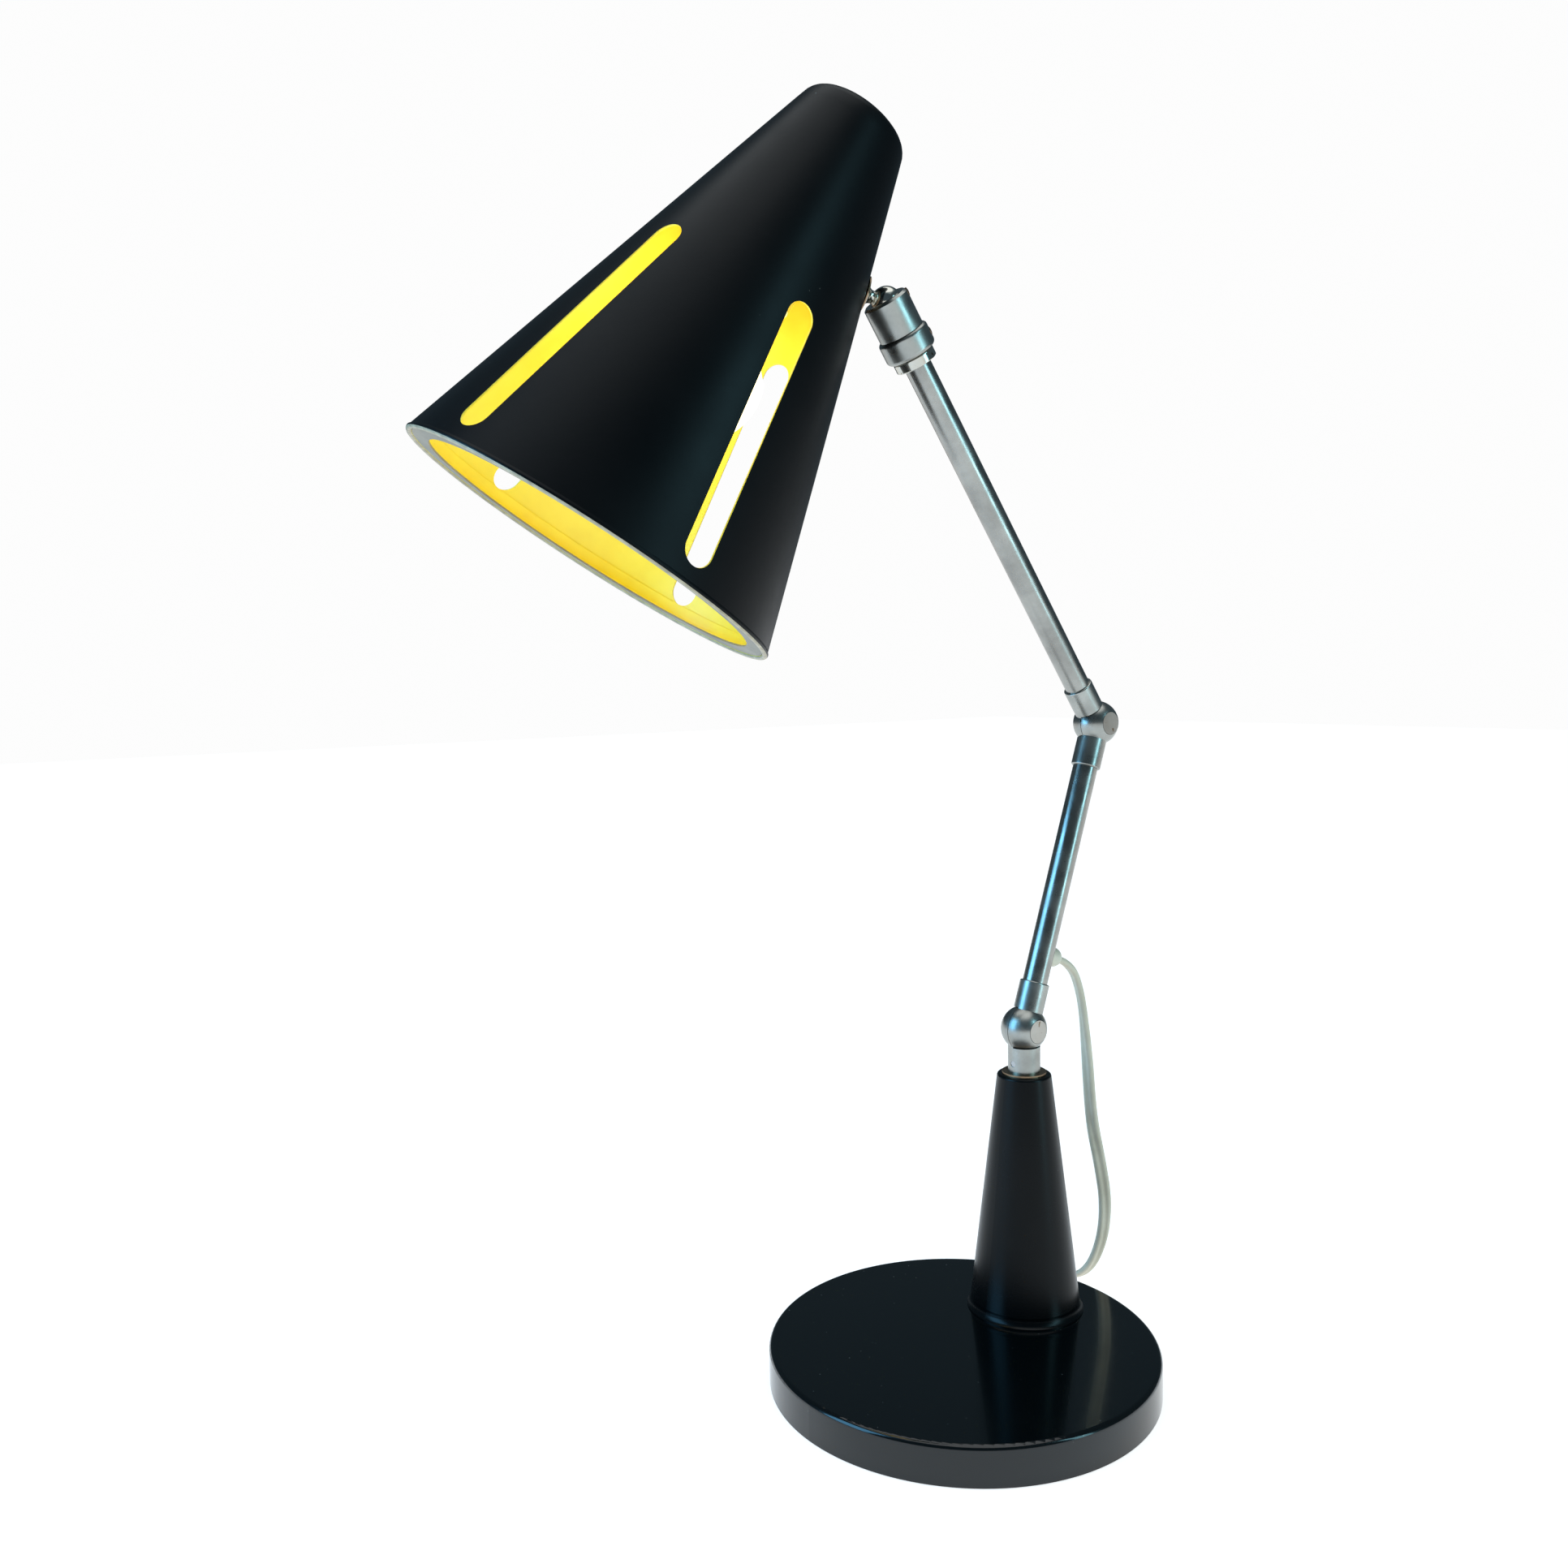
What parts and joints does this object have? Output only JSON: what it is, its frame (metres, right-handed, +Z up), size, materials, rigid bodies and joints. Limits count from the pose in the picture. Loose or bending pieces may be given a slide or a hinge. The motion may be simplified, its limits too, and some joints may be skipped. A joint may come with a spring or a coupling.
{
  "type": "accordion desk lamp",
  "caption": "Desk lamp with a round weighted base, off-centre conical stem, jointed tube arms and a black conical shade with long slots, lit.",
  "frame": {"origin": "centre of the base's underside, on the table", "axes": "+Z up; the arms fold in a plane parallel to XZ; +X is the side that the shade hangs over; +Y completes a right-handed set"},
  "size_m": [0.5286, 0.3532, 0.5708],
  "materials": {
    "base_black": "gloss",
    "ballast_iron": "matte",
    "felt": "matte",
    "plain_steel": "satin",
    "bronze": "satin",
    "nickel": "satin",
    "bright_nickel": "polished",
    "brown_screw": "satin",
    "shade_black": "satin",
    "ring_grey": "matte",
    "holder_bakelite": "gloss",
    "bulb_cap_metal": "satin",
    "bulb_glass": "gloss",
    "cord_cream": "satin",
    "tie_dark": "matte",
    "plug_cream": "gloss",
    "plug_brass": "polished"
  },
  "bodies": {
    "base": {"base_shell": "base_black", "base_ballast": "ballast_iron", "base_felt": "felt", "stem_cone": "base_black", "stem_tie_rod": "plain_steel", "tie_rod_washer": "plain_steel", "tie_rod_nut": "plain_steel", "swivel_washer": "bronze", "cord_drop": "cord_cream", "cord_hank": "cord_cream", "cord_tail": "cord_cream", "hank_tie": "tie_dark", "plug_body": "plug_cream", "plug_pins": "plug_brass"},
    "swivel": {"swivel_barrel": "nickel", "swivel_lock_screw": "plain_steel"},
    "lower_arm": {"lower_arm_foot": "nickel", "lower_pivot_screw": "nickel", "lower_pivot_nut": "plain_steel", "lower_pivot_washer": "plain_steel", "lower_tube": "nickel", "lower_arm_top": "nickel", "upper_pivot_screw": "nickel", "upper_pivot_nut": "plain_steel", "upper_pivot_washer": "plain_steel", "cord_bush": "cord_cream", "lower_flex": "cord_cream", "cord_lead": "cord_cream"},
    "upper_arm": {"upper_arm_foot": "nickel", "upper_tube": "nickel", "upper_flex": "cord_cream", "head_nut": "bright_nickel", "head_collar": "nickel", "collar_screw": "brown_screw"},
    "head": {"head_cup": "nickel", "ball_seat": "plain_steel", "cup_screw": "brown_screw"},
    "stud": {"ball_stud": "bright_nickel", "shade_washer": "bronze", "stud_nut": "plain_steel"},
    "shade": {"shade_shell": "shade_black", "mouth_ring": "ring_grey", "holder_bracket": "plain_steel", "lampholder": "holder_bakelite", "holder_nipple": "plain_steel", "holder_nut": "plain_steel", "holder_ring": "holder_bakelite", "bulb_cap": "bulb_cap_metal", "bulb_glass": "bulb_glass", "holder_lead": "cord_cream"}
  },
  "joints": [
    {"name": "stem_swivel", "type": "hinge", "parent": "base", "child": "swivel", "pos_m": [-0.0484, -0.0069, 0.1558], "axis": [0, 0, 1], "range_deg": [-90, 90], "deforming": ["cord_drop"]},
    {"name": "lower_knuckle", "type": "hinge", "parent": "swivel", "child": "lower_arm", "pos_m": [-0.0484, -0.0069, 0.1558], "axis": [0, 1, 0], "range_deg": [-50, 45], "deforming": ["cord_lead"]},
    {"name": "upper_knuckle", "type": "hinge", "parent": "lower_arm", "child": "upper_arm", "pos_m": [-0.09952, -0.0069, 0.30096], "axis": [0, 1, 0], "range_deg": [-100, 30]},
    {"name": "head_swivel", "type": "hinge", "parent": "upper_arm", "child": "head", "pos_m": [0.03362, -0.0069, 0.48556], "axis": [0.585, 0, 0.8111], "range_deg": [-150, 150]},
    {"name": "head_tilt", "type": "hinge", "parent": "head", "child": "stud", "pos_m": [0.03362, -0.0069, 0.48556], "axis": [0.4573, 0.8259, -0.3298], "range_deg": [-88, 4]},
    {"name": "shade_spin", "type": "hinge", "parent": "stud", "child": "shade", "pos_m": [0.03362, -0.0069, 0.48556], "axis": [0.8817, -0.3729, 0.2889], "range_deg": [-120, 120]}
  ]
}
